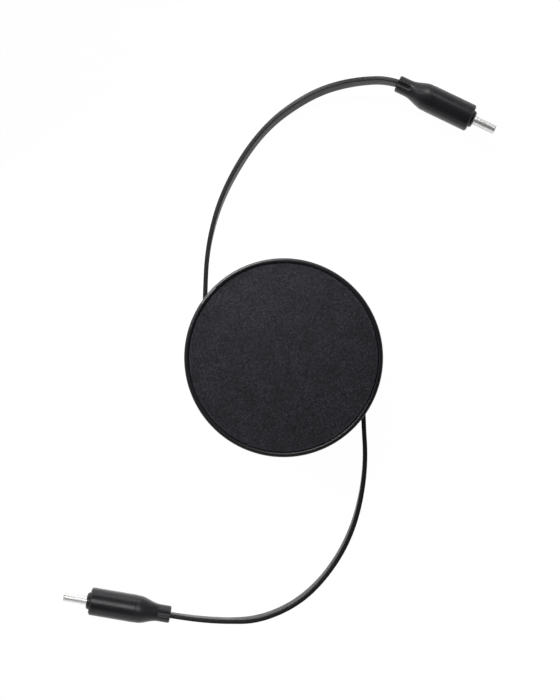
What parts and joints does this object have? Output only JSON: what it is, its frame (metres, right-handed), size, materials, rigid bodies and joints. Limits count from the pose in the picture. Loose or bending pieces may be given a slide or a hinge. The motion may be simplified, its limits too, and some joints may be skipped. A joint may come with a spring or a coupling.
{
  "type": "retractable charging cable",
  "caption": "Round flat spring reel with a covered front and a flat ribbon lead drawn out of each side, each lead ending in a small reversible charging plug.",
  "frame": {"origin": "centre of the flat back of the case, on the surface it lies on", "axes": "+Z out of the covered front, +Y along the straight run in which lead a leaves the case, +X to the right in the picture"},
  "size_m": [0.1266, 0.1599, 0.0121],
  "materials": {
    "case_plastic": "moulded ABS, fine satin",
    "inlay": "fine grained leatherette",
    "steel": "zinc plated",
    "reel_plastic": "moulded acetal, natural white",
    "spring_steel": "rolled strip",
    "ribbon": "extruded TPE, satin",
    "plug_rubber": "moulded TPE, satin",
    "plug_plastic": "moulded, satin",
    "plug_steel": "nickel plated drawn steel",
    "insulator": "moulded",
    "gold": "gold plated",
    "board": "green laminate"
  },
  "bodies": {
    "case": {"back_shell": "case_plastic", "front_shell": "case_plastic", "front_inlay": "inlay", "centre_screw": "steel", "clock_spring": "spring_steel"},
    "reel": {"spool": "reel_plastic", "spool_cover": "reel_plastic", "cable_windings": "ribbon"},
    "latch": {"latch_ball": "steel"},
    "cable_a": {"cable_a_lead": "ribbon", "plug_a_boot": "plug_rubber", "plug_a_body": "plug_plastic", "plug_a_nose": "plug_plastic", "plug_a_shell": "plug_steel", "plug_a_insulator": "insulator", "plug_a_contacts": "gold", "plug_a_latches": "spring_steel", "plug_a_board": "board"},
    "cable_b": {"cable_b_lead": "ribbon", "plug_b_boot": "plug_rubber", "plug_b_body": "plug_plastic", "plug_b_nose": "plug_plastic", "plug_b_shell": "plug_steel", "plug_b_insulator": "insulator", "plug_b_contacts": "gold", "plug_b_latches": "spring_steel", "plug_b_board": "board"}
  },
  "joints": [
    {"name": "reel_spin", "type": "hinge", "parent": "case", "child": "reel", "pos_m": [0, 0, 0.005], "axis": [0, 0, -1], "range_deg": [0, 1080], "stiffness_Nm_per_rad": 0.0018, "springref_deg": -1489.69, "deforming": ["clock_spring"]},
    {"name": "cable_a_pull", "type": "slide", "parent": "case", "child": "cable_a", "axis": [0, 1, 0], "range_m": [0, 0.332]},
    {"name": "cable_b_pull", "type": "slide", "parent": "case", "child": "cable_b", "axis": [0, -1, 0], "range_m": [0, 0.332]},
    {"name": "latch_ball_slide", "type": "slide", "parent": "case", "child": "latch", "axis": [0, -1, 0], "range_m": [0, 0.0033]}
  ],
  "couplings": [
    {"joint": "cable_a_pull", "follows": "reel_spin", "m_per_rad": 0.0176},
    {"joint": "cable_b_pull", "follows": "reel_spin", "m_per_rad": 0.0176}
  ]
}
